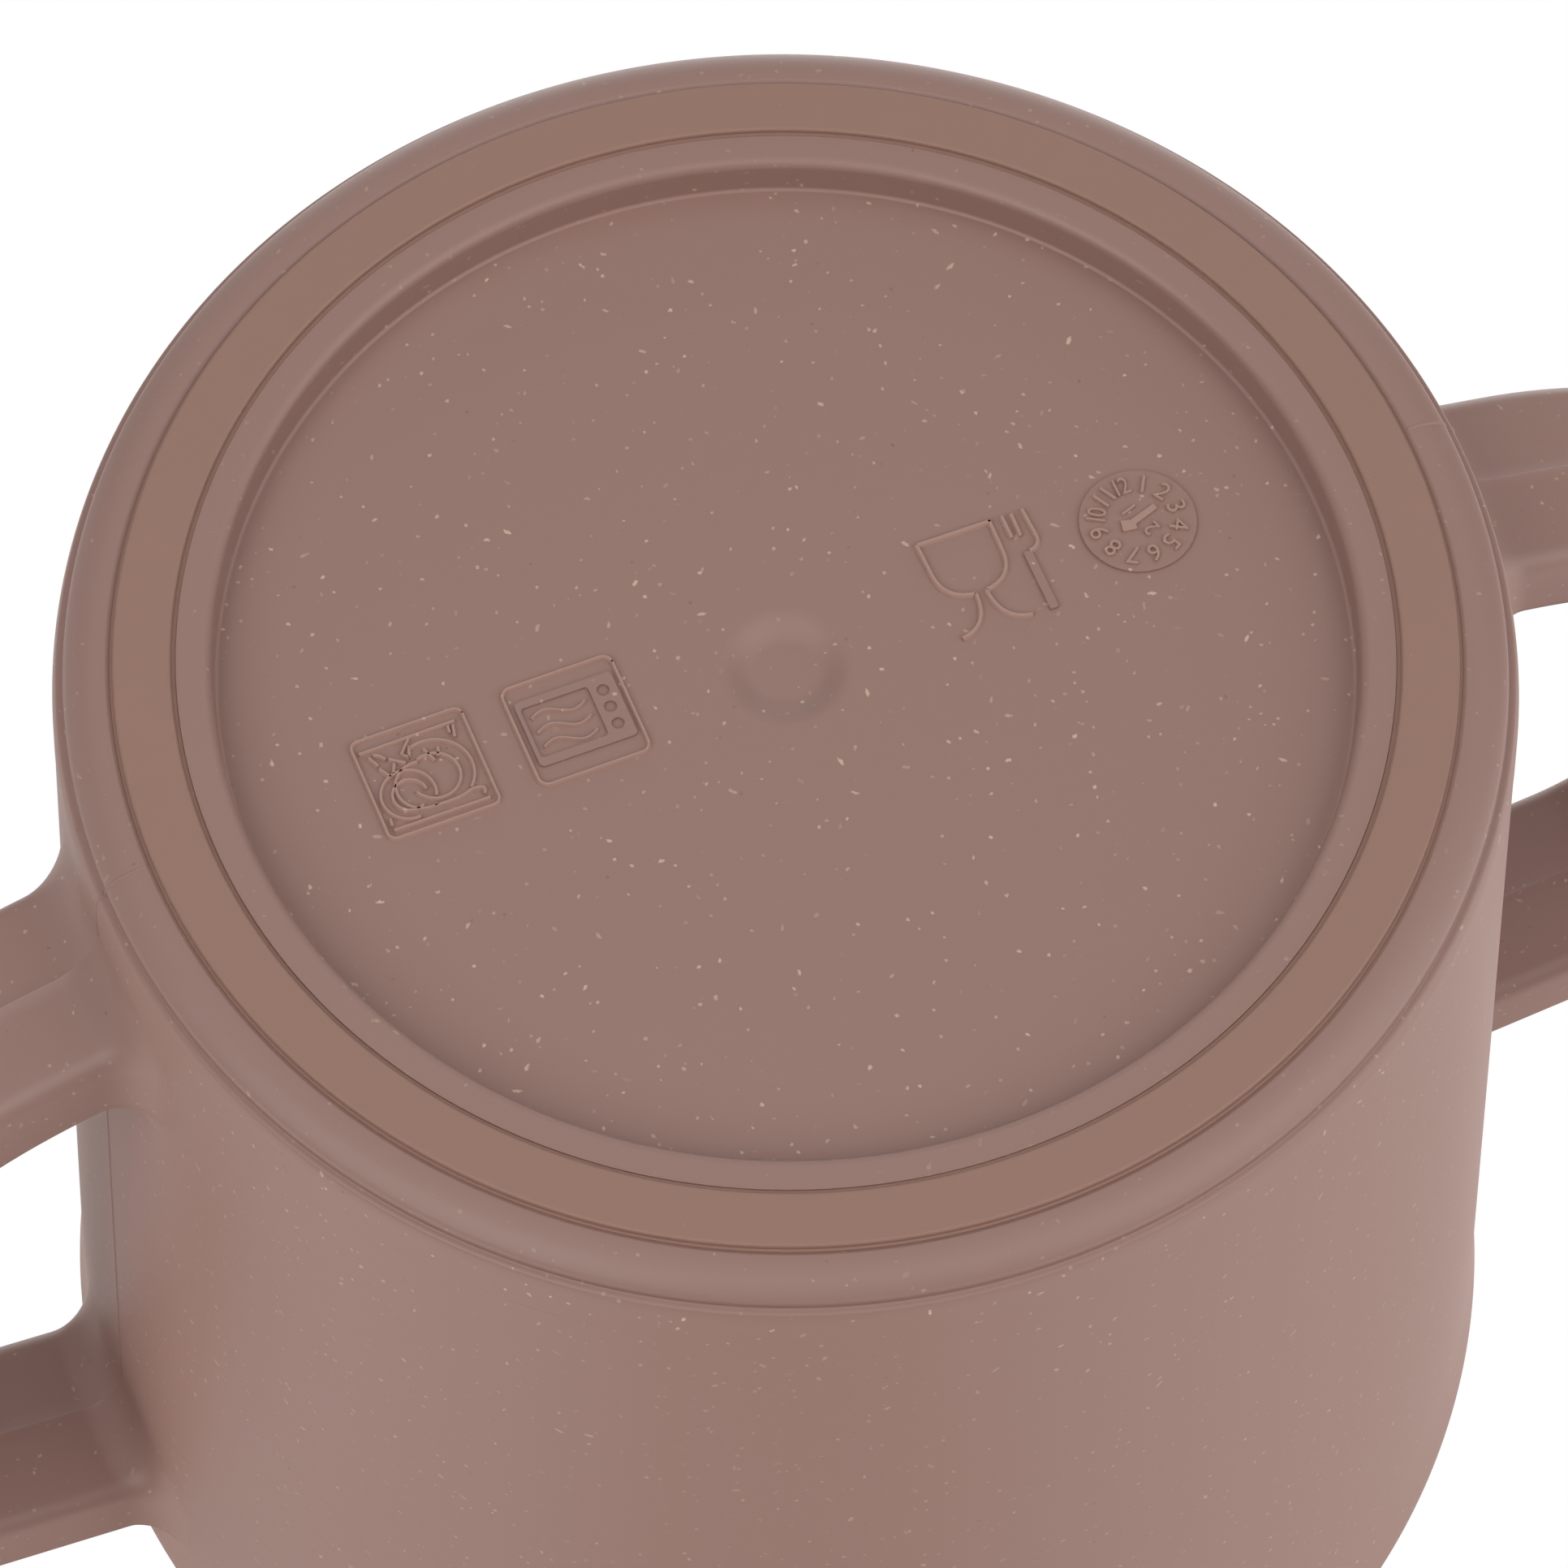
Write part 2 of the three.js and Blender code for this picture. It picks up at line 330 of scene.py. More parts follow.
def node(tree, kind, inputs, **settings):
    """A shader node; an input that is given a socket is linked to it, and any other is set."""
    made = tree.nodes.new(kind)
    for key, value in settings.items():
        setattr(made, key, value)
    for key, value in inputs.items():
        if isinstance(value, bpy.types.NodeSocket):
            tree.links.new(value, made.inputs[key])
        else:
            made.inputs[key].default_value = value
    return made


def calculate(tree, operation, *values):
    """The result of a calculation on numbers."""
    return node(tree, "ShaderNodeMath", dict(enumerate(values)), operation=operation).outputs[0]


def calculate_vector(tree, operation, *values):
    """The result of a calculation on vectors."""
    made = node(tree, "ShaderNodeVectorMath", dict(enumerate(values)), operation=operation)
    return made.outputs["Value" if operation == "DOT_PRODUCT" else "Vector"]


def mix_tones(tree, share, first, second):
    """A colour between two; the node's inputs share names, so its colour sockets are given by number."""
    return node(tree, "ShaderNodeMix", {0: share, 6: first, 7: second}, data_type="RGBA").outputs[2]


def ramp(tree, value, from_low, from_high, to_low, to_high, kind="LINEAR"):
    """A value moved from one range to another and kept within it."""
    inputs = {0: value, 1: from_low, 2: from_high, 3: to_low, 4: to_high}
    return node(tree, "ShaderNodeMapRange", inputs, interpolation_type=kind).outputs[0]


def linear(red, green, blue):
    """A colour given as it shows on a screen, 0 to 255, as the linear value that Blender takes."""
    def channel(value):
        share = value / 255
        return share / 12.92 if share <= 0.04045 else ((share + 0.055) / 1.055) ** 2.4
    return (channel(red), channel(green), channel(blue), 1)


def specks(tree, place, spacing, length, width, share):
    """Scattered specks as a mask from 0 to 1: grains that each lie their own way, some of them faint.

    spacing is the mean distance between places for a grain, length and width are a grain's half sizes,
    and share is how many of the places hold one.
    """
    cells = node(tree, "ShaderNodeTexVoronoi", {"Vector": place, "Scale": 1 / spacing})
    chance = node(tree, "ShaderNodeSeparateColor", {0: cells.outputs["Color"]})
    shuffled = calculate_vector(tree, "MULTIPLY", cells.outputs["Color"], (SPECK_SHUFFLE,) * 3)
    shuffled = calculate_vector(tree, "FRACTION", shuffled)
    axis = calculate_vector(tree, "MULTIPLY_ADD", shuffled, (2, 2, 2), (-1, -1, -1))
    axis = calculate_vector(tree, "NORMALIZE", axis)
    offset = calculate_vector(tree, "SUBTRACT", place, cells.outputs["Position"])
    along = calculate_vector(tree, "DOT_PRODUCT", offset, axis)
    squared = calculate_vector(tree, "DOT_PRODUCT", offset, offset)
    round_part = calculate(tree, "MULTIPLY", squared, width ** -2)
    long_part = calculate(tree, "MULTIPLY", along, along)
    long_part = calculate(tree, "MULTIPLY", long_part, length ** -2 - width ** -2)
    within = calculate(tree, "ADD", round_part, long_part)
    body = ramp(tree, within, 1, SPECK_CORE, 0, 1, "SMOOTHSTEP")
    present = calculate(tree, "LESS_THAN", chance.outputs[0], share)
    strength = calculate(tree, "POWER", chance.outputs[1], SPECK_FAINTNESS)
    return calculate(tree, "MULTIPLY", calculate(tree, "MULTIPLY", body, present), strength)


def millimetre_coordinates(tree):
    """Places on the object in millimetres."""
    place = node(tree, "ShaderNodeTexCoord", {}).outputs["Object"]
    return node(tree, "ShaderNodeVectorMath", {0: place, "Scale": 1 / MM}, operation="SCALE").outputs[0]


def noise(tree, place, scale, detail):
    """A cloudy noise, whose scale is in waves to a millimetre."""
    return node(tree, "ShaderNodeTexNoise", {"Vector": place, "Scale": scale, "Detail": detail})


def new_material(name):
    """A material, its node tree and its shader."""
    material = bpy.data.materials.new(name)
    material.use_nodes = True
    return material, material.node_tree, material.node_tree.nodes["Principled BSDF"]


def add_grain(tree, shader, place, scale, smoothest, roughest, strength):
    """A fine moulded grain that varies the roughness and dents the surface a little."""
    grain = noise(tree, place, scale, GRAIN_DETAIL).outputs[0]
    tree.links.new(ramp(tree, grain, 0, 1, smoothest, roughest), shader.inputs["Roughness"])
    dents = {"Strength": strength, "Distance": GRAIN_DEPTH * MM, "Height": grain}
    tree.links.new(node(tree, "ShaderNodeBump", dents).outputs[0], shader.inputs["Normal"])


# Colours as they show on a screen
PLASTIC_TONE = linear(152, 120, 111)
PLASTIC_WARM_TONE = linear(152, 119, 109)
# Painted highlight: the raised marks are coloured lighter than the plastic, for the light that their tops and
# edges catch
MARK_HIGHLIGHT_TONE = linear(172, 137, 126)
MARK_HIGHLIGHT_WARM_TONE = linear(172, 137, 124)
FLAKE_TONE = linear(216, 192, 166)
DOT_TONE = linear(214, 190, 178)
DARK_SPECK_TONE = linear(104, 82, 77)
RING_TONE = linear(152, 117, 104)
RING_LIGHT_TONE = linear(154, 119, 104)

# Specks: mean distance between places for a grain, its half length, its half width, share of places filled
FLAKES = (1.0, 0.32, 0.11, 0.7)
DOTS = (0.7, 0.14, 0.1, 0.5)
DARK_SPECKS = (1.6, 0.14, 0.1, 0.5)
RING_DUST = (1.1, 0.06, 0.05, 0.5)
SPECK_SHUFFLE = 37
SPECK_CORE = 0.3
SPECK_FAINTNESS = 1.3
RAGGED_SCALE = 6
RAGGED_DETAIL = 2
RAGGED_REACH = 0.2

# How clear the specks are on the land, in the recess and up the wall, and the heights at which that changes
LAND_CLEARNESS = 0.3
RECESS_CLEARNESS = 0.8
WALL_CLEARNESS = 0.57
DARK_CLEARNESS = 0.5
DUST_CLEARNESS = 0.3
LAND_RISE = 1
WALL_RISE = (1, 3)

# Clouds of tone: scale and detail. Grain: scale, least and greatest roughness, strength of the dents
PLASTIC_CLOUDS = (0.08, 3)
RING_CLOUDS = (0.15, 4)
PLASTIC_GRAIN = (9, 0.42, 0.52, 0.12)
RING_GRAIN = (5, 0.52, 0.64, 0.1)
GRAIN_DETAIL = 3
GRAIN_DEPTH = 0.02


def scatter(tree, place, grains, clearness, tone, grain_tone):
    """A tone with grains of another tone in it."""
    share = calculate(tree, "MULTIPLY", specks(tree, place, *grains), clearness)
    return mix_tones(tree, share, tone, grain_tone)


def speckled_plastic(name, main_tone, warm_tone):
    """Satin plastic with pale flakes, pale dots and a few dark specks."""
    material, tree, shader = new_material(name)
    place = millimetre_coordinates(tree)
    tone = mix_tones(tree, noise(tree, place, *PLASTIC_CLOUDS).outputs[0], main_tone, warm_tone)
    rough = noise(tree, place, RAGGED_SCALE, RAGGED_DETAIL).outputs["Color"]
    ragged = calculate_vector(tree, "MULTIPLY_ADD", rough, (RAGGED_REACH,) * 3, place)
    height = node(tree, "ShaderNodeSeparateXYZ", {0: place}).outputs[2]
    under = ramp(tree, height, BASE_Z + LAND_RISE, RECESS_Z, LAND_CLEARNESS, RECESS_CLEARNESS)
    upwards = ramp(tree, height, RECESS_Z + WALL_RISE[0], RECESS_Z + WALL_RISE[1], 1, WALL_CLEARNESS)
    clearness = calculate(tree, "MULTIPLY", under, upwards)
    tone = scatter(tree, ragged, FLAKES, clearness, tone, FLAKE_TONE)
    tone = scatter(tree, ragged, DOTS, clearness, tone, DOT_TONE)
    tone = scatter(tree, ragged, DARK_SPECKS, DARK_CLEARNESS, tone, DARK_SPECK_TONE)
    tree.links.new(tone, shader.inputs["Base Color"])
    add_grain(tree, shader, place, *PLASTIC_GRAIN)
    return material


def soft_ring():
    """Plain matte silicone with a little fine dust."""
    material, tree, shader = new_material("soft_ring")
    place = millimetre_coordinates(tree)
    tone = mix_tones(tree, noise(tree, place, *RING_CLOUDS).outputs[0], RING_TONE, RING_LIGHT_TONE)
    tone = scatter(tree, place, RING_DUST, DUST_CLEARNESS, tone, FLAKE_TONE)
    tree.links.new(tone, shader.inputs["Base Color"])
    add_grain(tree, shader, place, *RING_GRAIN)
    return material


plastic = speckled_plastic("speckled_plastic", PLASTIC_TONE, PLASTIC_WARM_TONE)
# A lighter copy of the plastic for the raised marks: a painted highlight for the light that catches them
painted_highlight_plastic = speckled_plastic("painted_highlight_plastic", MARK_HIGHLIGHT_TONE, MARK_HIGHLIGHT_WARM_TONE)
silicone = soft_ring()


# Cup

def dimple():
    """The shallow dish left by the moulding gate, from the axis to its rim."""
    points = [Vector((0, RECESS_Z + DIMPLE_DEPTH))]
    for i in range(DIMPLE_STEPS + 1):
        share = i / DIMPLE_STEPS
        radius = DIMPLE_FLAT + (DIMPLE_RADIUS - DIMPLE_FLAT) * share
        points.append(Vector((radius, RECESS_Z + DIMPLE_DEPTH * (1 + math.cos(math.pi * share)) / 2)))
    return points


def base_edge():
    """The rounded edge between base and wall, with the fine groove of the mould line in it."""
    lean = math.atan(CONE_SLOPE)
    centre_z = BASE_Z + BASE_EDGE
    centre = Vector((wall_radius(centre_z) - BASE_EDGE / math.cos(lean), centre_z))
    points = [centre + Vector((-HOLD, -BASE_EDGE))]
    for i in range(BASE_EDGE_STEPS + 1):
        angle = (math.pi / 2 - lean) * i / BASE_EDGE_STEPS
        from_line = BASE_EDGE * (angle - EDGE_LINE_ANGLE)
        reach = EDGE_LINE_BASE_SIDE if from_line < 0 else EDGE_LINE_WALL_SIDE
        depth = EDGE_LINE_DEPTH * math.exp(-(from_line / reach) ** 2)
        points.append(centre + Vector((math.sin(angle), -math.cos(angle))) * (BASE_EDGE - depth))
    return points


def cup_profile():
    """The cup's profile, from the middle of the underside round the rim to the middle of the inside."""
    underside = rounded([
        (DIMPLE_RADIUS + HOLD, RECESS_Z, 0),
        (RECESS_RADIUS - RECESS_DRAFT, RECESS_Z, RECESS_CORNER),
        (RECESS_RADIUS, BASE_Z, RECESS_EDGE),
        (GROOVE_INNER, BASE_Z, GROOVE_INNER_EDGE),
        (GROOVE_INNER, GROOVE_Z, 0),
        (GROOVE_OUTER, GROOVE_Z, 0),
        (GROOVE_OUTER, BASE_Z + GROOVE_CHAMFER, 0),
        (GROOVE_OUTER + GROOVE_OUTER_EDGE, BASE_Z, GROOVE_OUTER_EDGE),
        (BASE_RADIUS - BASE_EDGE, BASE_Z, 0),
    ])
    wall_heights = (
        BASE_Z + BASE_EDGE + HOLD,
        WALL_LINE_LOW - HOLD,
        WALL_LINE_LOW,
        WALL_LINE_HIGH,
        WALL_LINE_HIGH + HOLD,
        WALL_LINE_HIGH + WALL_LINE_FADE,
        LIP_Z,
    )
    wall = [Vector((skin_radius(z), z)) for z in wall_heights]
    lip = []
    inside_lip = []
    for i in range(1, LIP_STEPS):
        z = LIP_Z + LIP_HEIGHT * i / LIP_STEPS
        lip.append(Vector((wall_radius(z), z)))
        inside_lip.insert(0, Vector((wall_radius(z) - WALL, z)))
    rim = []
    for i in range(RIM_STEPS + 1):
        angle = math.pi * i / RIM_STEPS
        across = Vector((math.cos(angle), math.sin(angle))) * RIM_RADIUS
        rim.append(Vector((MOUTH_RADIUS - RIM_RADIUS, RIM_CENTRE_Z)) + across)
    inside = rounded([
        (wall_radius(LIP_Z) - WALL, LIP_Z, 0),
        (wall_radius(INSIDE_FLOOR_Z) - WALL, INSIDE_FLOOR_Z, CUP_FLOOR_FILLET),
        (0, INSIDE_FLOOR_Z, 0),
    ])
    return dimple() + underside[:-1] + base_edge() + wall + lip + rim + inside_lip + inside


cup = make_piece("cup_skin", *revolve(cup_profile(), closed=False), "cup", "speckled_plastic", plastic)
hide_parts("cup_body")


# Handles

def strap_section():
    """The strap's cross-section: points with a place across, a place through and an outward direction.

    It is a rounded rectangle whose two broad faces rise a little to the parting line, where a seam stands.
    """
    across_centre = STRAP_HALF_WIDTH - STRAP_EDGE
    through_centre = HALF_THICKNESS - STRAP_CROWN - STRAP_EDGE
    half_seam = SEAM_WIDTH / 2
    section = []
    for across, through, start in ((1, 1, 0), (-1, 1, 90), (-1, -1, 180), (1, -1, 270)):
        for i in range(STRAP_EDGE_STEPS + 1):
            angle = math.radians(start + 90 * i / STRAP_EDGE_STEPS)
            outward = Vector((math.cos(angle), math.sin(angle)))
            place = Vector((across * across_centre, through * through_centre)) + outward * STRAP_EDGE
            section.append((place.x, place.y, outward))
        if across != through:
            continue
        out = Vector((0, through))
        face_half = []
        for i in range(1, STRAP_FACE_STEPS + 1):
            share = i / STRAP_FACE_STEPS
            face_half.append((
                across_centre + (half_seam - across_centre) * share,
                HALF_THICKNESS - STRAP_CROWN * (1 - share),
            ))
        first = [(across * a, through * t, out) for a, t in face_half]
        second = [(-across * a, through * t, out) for a, t in reversed(face_half)]
        section += first + [(0, through * (HALF_THICKNESS + SEAM_HEIGHT), out)] + second
    return section


def strap_stations():
    """The strap's middle line in the handles' plane: x, z and direction as an angle up from +X."""
    outer_x = HANDLE_OUTER_X - HALF_THICKNESS
    bend_x = wall_radius(BASE_LEG_Z) + ROOT_FILLET + ROOT_STRAIGHT
    bend_z = BASE_LEG_Z + (bend_x - wall_radius(BASE_LEG_Z)) * math.tan(BASE_LEG_ANGLE)
    sweep = (outer_x - bend_x) / (1 - math.sin(BASE_LEG_ANGLE))
    sweep_z = bend_z + sweep * math.cos(BASE_LEG_ANGLE)
    turn_x = outer_x - HANDLE_CORNER
    turn_end_x = turn_x + HANDLE_CORNER * math.sin(MOUTH_LEG_ANGLE)
    fall = (turn_end_x - wall_radius(MOUTH_LEG_Z)) * math.tan(MOUTH_LEG_ANGLE)
    turn_z = MOUTH_LEG_Z - fall - HANDLE_CORNER * math.cos(MOUTH_LEG_ANGLE)
    stations = []
    arcs = (
        (outer_x - sweep, sweep_z, sweep, BASE_LEG_ANGLE, math.pi / 2),
        (turn_x, turn_z, HANDLE_CORNER, math.pi / 2, math.pi - MOUTH_LEG_ANGLE),
    )
    for centre_x, centre_z, radius, start, end in arcs:
        steps = math.ceil((end - start) / STRAP_STEP)
        for i in range(steps + 1):
            angle = start + (end - start) * i / steps
            x = centre_x + radius * math.sin(angle)
            z = centre_z - radius * math.cos(angle)
            stations.append((x, z, angle))
    return stations


def meet_wall(point, inward):
    """Where a straight line from a point, along a direction towards the cup, meets the outer wall."""
    meeting = point.copy()
    for _ in range(MEETING_STEPS):
        gap = math.hypot(meeting.x, meeting.y) - wall_radius(meeting.z)
        meeting += inward * (gap / abs(inward.x))
    return meeting


def on_wall(point, depth):
    """A point moved straight to the axis or away from it, to a depth under the cup's skin."""
    scale = (skin_radius(point.z) - depth) / math.hypot(point.x, point.y)
    return Vector((point.x * scale, point.y * scale, point.z))


def wall_normal(point):
    """Outward direction of the straight wall at a point on it."""
    level = Vector((point.x, point.y, 0)).normalized()
    return (level - Vector((0, 0, CONE_SLOPE))).normalized()


def root_flare(section, outwards, inward, upper_fillet):
    """Rings that carry one end of the strap into the wall with a hollow fillet, from the strap inwards."""
    rings = [[] for _ in range(FLARE_STEPS + 2)]
    for point, outward in zip(section, outwards):
        corner = meet_wall(point, inward)
        level = Vector((corner.x, corner.y, 0)).normalized()
        along_wall = (outward - level * outward.dot(level)).normalized()
        fillet = ROOT_FILLET + (upper_fillet - ROOT_FILLET) * max(0, along_wall.z)
        on_strap = corner - inward * fillet
        foot = on_wall(corner + along_wall * fillet, ROOT_SINK)
        foot_normal = wall_normal(foot)
        # Here the strap's line crosses the wall's tangent at the foot, so that the fillet meets both smoothly
        bend_point = corner - inward * ((corner - foot).dot(foot_normal) / inward.dot(foot_normal))
        for step in range(FLARE_STEPS + 1):
            t = step / FLARE_STEPS
            weights = ((1 - t) ** 2, math.sqrt(2) * t * (1 - t), t ** 2)
            mixed = on_strap * weights[0] + bend_point * weights[1] + foot * weights[2]
            rings[step].append(mixed / sum(weights))
        rings[-1].append(on_wall(foot, ROOT_EMBED))
    return rings


def handle_skin():
    """Points and faces of the right-hand handle with both of its roots."""
    section = strap_section()
    rings = []
    outwards = []
    for x, z, angle in strap_stations():
        through = Vector((-math.sin(angle), 0, math.cos(angle)))
        rings.append([Vector((x, a, z)) + through * t for a, t, _ in section])
        outwards.append([Vector((0, out.x, 0)) + through * out.y for _, _, out in section])
    to_base_root = Vector((-math.cos(BASE_LEG_ANGLE), 0, -math.sin(BASE_LEG_ANGLE)))
    to_mouth_root = Vector((-math.cos(MOUTH_LEG_ANGLE), 0, math.sin(MOUTH_LEG_ANGLE)))
    base_root = root_flare(rings[0], outwards[0], to_base_root, ROOT_FILLET)
    mouth_root = root_flare(rings[-1], outwards[-1], to_mouth_root, RIM_SIDE_FILLET)
    return loft(base_root[::-1] + rings + mouth_root)


def turned_half(points):
    """Points turned half round about the cup's axis."""
    return [Vector((-p[0], -p[1], p[2])) for p in points]


points, faces = handle_skin()
right_handle = make_piece("right_handle_skin", points, faces, "cup", "speckled_plastic", plastic)
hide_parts("right_handle")
left_handle = make_piece("left_handle_skin", turned_half(points), faces, "cup", "speckled_plastic", plastic)
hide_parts("left_handle")


# Parting line on the cup, in line with the seams of the handles

def seam(profile, side):
    """A fine ridge along a profile of (radius, height), on the right side (1) or the left side (-1)."""
    path = [Vector((side * place.x, 0, place.y)) for place in profile]
    normals = []
    for i in range(len(profile)):
        ahead = profile[min(i + 1, len(profile) - 1)] - profile[max(i - 1, 0)]
        out = Vector((ahead.y, -ahead.x)).normalized()
        normals.append(Vector((side * out.x, 0, out.y)))
    return ridge(path, normals, SEAM_WIDTH, SEAM_HEIGHT)


def wall_line(low, high):
    """Places up the wall from one height to another, as (radius, height)."""
    heights = [low + (high - low) * i / WALL_STEPS for i in range(WALL_STEPS + 1)]
    return [Vector((wall_radius(z), z)) for z in heights]


def parting_line():
    """The seam on both sides of the cup: over the base edge, within the handle and above it."""
    root_half = HALF_THICKNESS + ROOT_FILLET
    land = [Vector((GROOVE_OUTER + GROOVE_OUTER_EDGE, BASE_Z))]
    stretches = (
        land + base_edge() + wall_line(BASE_Z + BASE_EDGE + HOLD, BASE_LEG_Z - root_half),
        wall_line(BASE_LEG_Z + root_half, MOUTH_LEG_Z - root_half),
        wall_line(MOUTH_LEG_Z + HALF_THICKNESS + RIM_SIDE_FILLET, RIM_CENTRE_Z),
    )
    return joined([seam(stretch, side) for stretch in stretches for side in (1, -1)])


make_piece("parting_line", *parting_line(), "cup", "speckled_plastic", plastic)


# Symbols on the underside, in places to the right and up as they are read

OUT = Vector((0, 0, -1))


def stroke(places, width=STROKE_WIDTH):
    """A raised stroke on the floor of the recess."""
    path = [Vector((right, -up, RECESS_Z)) for right, up in places]
    return ridge(path, [OUT] * len(path), width, STROKE_HEIGHT)


def shifted(centre, places):
    """Places moved from round the origin to round a centre."""
    return [(centre[0] + right, centre[1] + up) for right, up in places]


def turn_about(centre, radius, start=0, end=360):
    """Places along a circle, from one angle to another in degrees, counter-clockwise from the right."""
    steps = max(LEAST_CIRCLE_STEPS, round(abs(end - start) / CIRCLE_STEP))
    places = []
    for i in range(steps + 1):
        angle = math.radians(start + (end - start) * i / steps)
        places.append((centre[0] + radius * math.cos(angle), centre[1] + radius * math.sin(angle)))
    return places


def bend(start, control, end):
    """Places along a curve from a start to an end, drawn towards a control place."""
    places = []
    for i in range(BEND_STEPS + 1):
        t = i / BEND_STEPS
        weights = ((1 - t) ** 2, 2 * t * (1 - t), t ** 2)
        places.append(tuple(
            weights[0] * start[k] + weights[1] * control[k] + weights[2] * end[k] for k in (0, 1)
        ))
    return places


def rounded_rectangle(centre, width, height, corner):
    """Places round a rectangle with round corners."""
    places = []
    for i, (right, up) in enumerate(((1, 1), (-1, 1), (-1, -1), (1, -1))):
        middle = (centre[0] + right * (width / 2 - corner), centre[1] + up * (height / 2 - corner))
        places += turn_about(middle, corner, 90 * i, 90 * i + 90)
    return places


def frame_round(centre, width, height, corner):
    """Places round a rectangle with round corners, which meet where they began."""
    places = rounded_rectangle(centre, width, height, corner)
    return places + places[:2]


def wave(left, right, up, rise):
    """Places along one full wave."""
    shares = [i / WAVE_STEPS for i in range(WAVE_STEPS + 1)]
    return [(left + (right - left) * t, up + rise * math.sin(2 * math.pi * t)) for t in shares]


def raised_shape(curve):
    """Places, heights from -1 to 1 and faces of a filled flat curve."""
    curve.extrude = 1
    holder = bpy.data.objects.new("shape", curve)
    mesh = bpy.data.meshes.new_from_object(holder)
    places = [(vertex.co.x, vertex.co.y) for vertex in mesh.vertices]
    heights = [vertex.co.z for vertex in mesh.vertices]
    faces = [list(face.vertices) for face in mesh.polygons]
    bpy.data.meshes.remove(mesh)
    bpy.data.objects.remove(holder)
    bpy.data.curves.remove(curve)
    return places, heights, faces


def plate(outlines, level=RECESS_Z):
    """A raised flat shape that stands on a level; outlines after the first are holes in it.

    An outline closes itself, so it stops short of where it began.
    """
    curve = bpy.data.curves.new("plate", "CURVE")
    curve.dimensions = "2D"
    curve.fill_mode = "BOTH"
    for outline in outlines:
        spline = curve.splines.new("POLY")
        spline.points.add(len(outline) - 1)
        spline.use_cyclic_u = True
        for point, (right, up) in zip(spline.points, outline):
            point.co = (right, up, 0, 1)
    places, heights, faces = raised_shape(curve)
    points = [Vector((right, -up, level - PLATE_HEIGHT * z)) for (right, up), z in zip(places, heights)]
    return points, faces


def dishwasher():
    """A machine with three plates, a glass and cutlery over a tray."""
    lines = [
        frame_round((0, 0), SYMBOL_SIZE, SYMBOL_SIZE, 0.4),
        [(-2.6, 2.15), (2.35, 2.2)],
        [(-2.5, -2.4), (2.45, -2.4)],
        [(1.95, 2.05), (1.9, 1.65)],
        [(2.2, 2.0), (2.05, 1.35)],
        turn_about((0.45, -0.2), 1.9, -45, 110),
        turn_about((0.4, -0.3), 1.25, -155, 115),
        turn_about((-0.35, -0.55), 1.3, 80, 285),
        turn_about((-1.15, -0.8), 1.35, -25, 275),
        turn_about((-1.1, -0.85), 0.85, 0, 300),
        [(-0.06, 2.1), (-0.69, 1.41), (-0.4, 1.1)],
        [(-0.19, 1.7), (-0.4, 1.1)],
        [(0.4, 1.28), (0.7, 0.48)],
        [(1.1, 1.12), (0.9, 0.65)],
        [(-2.22, 1.78), (-1.95, 1.2)],
        [(-1.96, 1.02), (-1.59, 0.4)],
        bend((-1.98, 1.86), (-1.6, 1.7), (-1.5, 1.4)),
        [(-1.35, 1.38), (-0.67, 0.87)],
        [(-1.19, 1.07), (-1.44, 0.52)],
        [(-2.45, -1.75), (-2.5, -2.15)],
        bend((-0.2, -1.85), (1.1, -1.95), (1.8, -1.65)),
        bend((1.8, -1.65), (2.65, -1.65), (2.25, -2.12)),
    ]
    return [stroke(shifted(DISHWASHER_PLACE, places), FINE_STROKE) for places in lines]


def microwave_front():
    """The raised front of an oven, with holes for its window and its three knobs."""
    outlines = [
        rounded_rectangle((0.03, 0.05), 5.05, 3.8, 0.25),
        rounded_rectangle((-0.54, 0.08), 3.5, 2.9, 0.2),
    ]
    outlines += [turn_about((1.85, up), 0.32, 0, 350) for up in (1.05, 0.07, -0.93)]
    return plate([shifted(MICROWAVE_PLACE, outline) for outline in outlines])


def microwave():
    """The oven's case, and three waves in its window."""
    case = frame_round((0, 0), SYMBOL_SIZE, SYMBOL_SIZE, 0.5)
    strokes = [stroke(shifted(MICROWAVE_PLACE, case), FINE_STROKE)]
    for up in (0.85, 0, -0.85):
        strokes.append(stroke(shifted(MICROWAVE_PLACE, wave(-1.95, 0.83, up, 0.26)), HAIR_STROKE))
    return strokes


def glass_and_fork():
    """The sign for food contact: a stemmed glass beside a fork."""
    glass = [[(-1.87, 2.9), (1.97, 2.85)]]
    for side in (-1, 1):
        glass += [
            [(side * 1.92, 2.9), (side * 1.88, 1.1)],
            bend((side * 1.88, 1.1), (side * 1.85, -0.5), (side * 0.28, -0.7)),
            bend((side * 0.28, -0.7), (side * 0.3, -2.6), (side * 1.85, -2.8)),
        ]
    fork = [
        [(-0.42, 2.87), (-0.42, 1.55)],
        [(0.06, 2.82), (0.02, 1.5)],
        [(0.66, 2.88), (0.74, 1.25)],
        bend((0.74, 1.25), (0.74, 0.65), (0.1, 0.57)),
    ]
    strokes = [stroke(shifted(GLASS_PLACE, places)) for places in glass]
    return strokes + [stroke(shifted(FORK_PLACE, places)) for places in fork]


def fork_handle():
    """The flat handle of the fork."""
    return plate([shifted(FORK_PLACE, rounded_rectangle((-0.02, -1.16), 0.44, 3.46, 0.05))])


